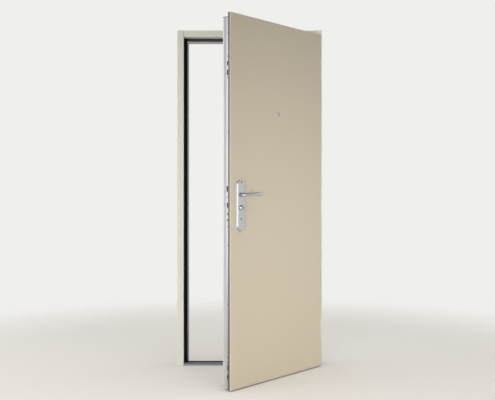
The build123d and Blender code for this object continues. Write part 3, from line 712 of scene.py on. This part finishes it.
def studio_floor():
    """A pale round floor that fades into the background at its rim."""
    bm = bmesh.new()
    bmesh.ops.create_circle(bm, cap_ends=True, segments=FLOOR_SIDES, radius=FLOOR_RADIUS)
    mesh = bpy.data.meshes.new("studio_floor")
    bm.to_mesh(mesh)
    bm.free()
    finish, tree, shader = start_finish(
        "pale_matt_floor", Base_Color=srgb(FLOOR_COLOUR), Roughness=0.8, Specular_IOR_Level=0.2
    )
    place = add_node(tree, "ShaderNodeTexCoord").outputs["Object"]
    away = add_node(tree, "ShaderNodeVectorMath", {"operation": "LENGTH"}, {0: place})
    fade = add_node(
        tree,
        "ShaderNodeMapRange",
        {"interpolation_type": "SMOOTHSTEP"},
        {"Value": away.outputs["Value"], "From Min": FLOOR_SOLID, "From Max": FLOOR_RADIUS},
    )
    clear = add_node(tree, "ShaderNodeBsdfTransparent")
    both = add_node(
        tree,
        "ShaderNodeMixShader",
        inputs={0: fade.outputs["Result"], 1: shader.outputs[0], 2: clear.outputs[0]},
    )
    output = next(node for node in tree.nodes if node.type == "OUTPUT_MATERIAL")
    tree.links.new(both.outputs[0], output.inputs["Surface"])
    mesh.materials.append(finish)
    floor = bpy.data.objects.new("studio_floor", mesh)
    bpy.context.scene.collection.objects.link(floor)


def studio_world():
    """Even light from all round, with more of it from overhead for the floor. Metal and glass see a room
    with a dim ceiling and a dim ground, and the lens a pale backdrop."""
    world = bpy.data.worlds.new("studio")
    world.use_nodes = True
    tree = world.node_tree
    tree.nodes.clear()
    path = add_node(tree, "ShaderNodeLightPath")
    mirrored = add_node(
        tree,
        "ShaderNodeMath",
        {"operation": "MAXIMUM"},
        {0: path.outputs["Is Glossy Ray"], 1: path.outputs["Is Transmission Ray"]},
    )
    way = add_node(tree, "ShaderNodeTexCoord").outputs["Generated"]
    parts = add_node(tree, "ShaderNodeSeparateXYZ", inputs={0: way})
    ceiling = add_node(
        tree,
        "ShaderNodeMapRange",
        {"interpolation_type": "SMOOTHSTEP"},
        {
            "Value": parts.outputs["Z"],
            "From Min": CEILING_START,
            "From Max": CEILING_END,
            "To Min": ROOM_LEVEL,
            "To Max": CEILING_LEVEL,
        },
    )
    ground = add_node(
        tree,
        "ShaderNodeMapRange",
        {"interpolation_type": "SMOOTHSTEP"},
        {
            "Value": parts.outputs["Z"],
            "From Min": GROUND_END,
            "From Max": GROUND_START,
            "To Min": GROUND_LEVEL,
            "To Max": ROOM_LEVEL,
        },
    )
    darker = add_node(
        tree,
        "ShaderNodeMath",
        {"operation": "MINIMUM"},
        {0: ceiling.outputs["Result"], 1: ground.outputs["Result"]},
    )
    overhead = add_node(
        tree,
        "ShaderNodeMapRange",
        {"interpolation_type": "SMOOTHSTEP"},
        {
            "Value": parts.outputs["Z"],
            "From Min": OVERHEAD_START,
            "From Max": OVERHEAD_END,
            "To Min": AMBIENT,
            "To Max": AMBIENT + OVERHEAD,
        },
    )
    even = add_node(
        tree,
        "ShaderNodeBackground",
        inputs={"Color": srgb(LIGHT_COLOUR), "Strength": overhead.outputs["Result"]},
    )
    room = add_node(
        tree,
        "ShaderNodeBackground",
        inputs={"Color": srgb(BACKDROP_COLOUR), "Strength": darker.outputs[0]},
    )
    backdrop = add_node(
        tree,
        "ShaderNodeBackground",
        inputs={"Color": srgb(BACKDROP_COLOUR), "Strength": BACKDROP_LEVEL},
    )
    lit = add_node(
        tree,
        "ShaderNodeMixShader",
        inputs={0: mirrored.outputs[0], 1: even.outputs[0], 2: room.outputs[0]},
    )
    seen = add_node(
        tree,
        "ShaderNodeMixShader",
        inputs={0: path.outputs["Is Camera Ray"], 1: lit.outputs[0], 2: backdrop.outputs[0]},
    )
    add_node(tree, "ShaderNodeOutputWorld", inputs={"Surface": seen.outputs[0]})
    bpy.context.scene.world = world


def softbox(name, place, aim, size, level, spread, mirrored):
    """A soft lamp that looks at a point. Its level sets how bright its face is, whatever its size, a
    narrow spread gathers its light into a beam, and metal shows it only if it is to be mirrored."""
    width, height = size
    lamp = bpy.data.lights.new(name, "AREA")
    lamp.shape = "RECTANGLE"
    lamp.size = width
    lamp.size_y = height
    lamp.energy = level * pi * width * height
    lamp.spread = spread
    made = bpy.data.objects.new(name, lamp)
    made.matrix_world = facing(Vector(place) - Vector(aim), Vector(place))
    made.visible_camera = False
    made.visible_glossy = mirrored
    bpy.context.scene.collection.objects.link(made)


def studio_lamps():
    """A low key to the left of the lens and a fill towards the open leaf's face, which metal doesn't
    mirror, and bright cards in front and on the lock side, which it does. The cards in front stand far
    enough to the left that the handle plate doesn't mirror them straight on when the leaf is closed."""
    softbox(
        "front_key",
        place=(-0.95, -4.4, 1.0),
        aim=(0.15, -0.25, 0.75),
        size=(1.1, 1.1),
        level=2.1,
        spread=radians(75),
        mirrored=False,
    )
    softbox(
        "leaf_fill",
        place=(2.2, -3.4, 0.95),
        aim=(0.45, -0.1, 0.95),
        size=(1.6, 1.5),
        level=1.06,
        spread=radians(60),
        mirrored=False,
    )
    softbox(
        "front_card",
        place=(-2.01, -4.0, 1.1),
        aim=(-0.06, -0.62, 1.05),
        size=(2.2, 3.4),
        level=0.72,
        spread=pi,
        mirrored=True,
    )
    softbox(
        "front_strip",
        place=(-1.52, -4.24, 1.1),
        aim=(-0.06, -0.62, 1.05),
        size=(1.1, 2.4),
        level=1.9,
        spread=pi,
        mirrored=True,
    )
    softbox(
        "lock_side_card",
        place=(-3.07, -1.71, 1.4),
        aim=(-0.06, -0.62, 1.35),
        size=(3.4, 2.4),
        level=0.9,
        spread=pi,
        mirrored=True,
    )


def studio_camera():
    """Level, in front of the doorway, where the photograph was taken from."""
    lens = bpy.data.cameras.new("camera")
    lens.lens = CAMERA_LENS
    lens.shift_y = CAMERA_SHIFT_UP
    made = bpy.data.objects.new("camera", lens)
    made.location = CAMERA_PLACE
    made.rotation_euler = (radians(90), 0, 0)
    bpy.context.scene.collection.objects.link(made)
    bpy.context.scene.camera = made


dress_solids()
faceplate_screws()
plate_screws()
strike_screws()
sill_screws()
hinge_caps()
viewer_lenses()
groove_strips()
studio_floor()
studio_world()
studio_lamps()
studio_camera()
bpy.context.scene.view_settings.view_transform = "Standard"

bpy.context.view_layer.update()
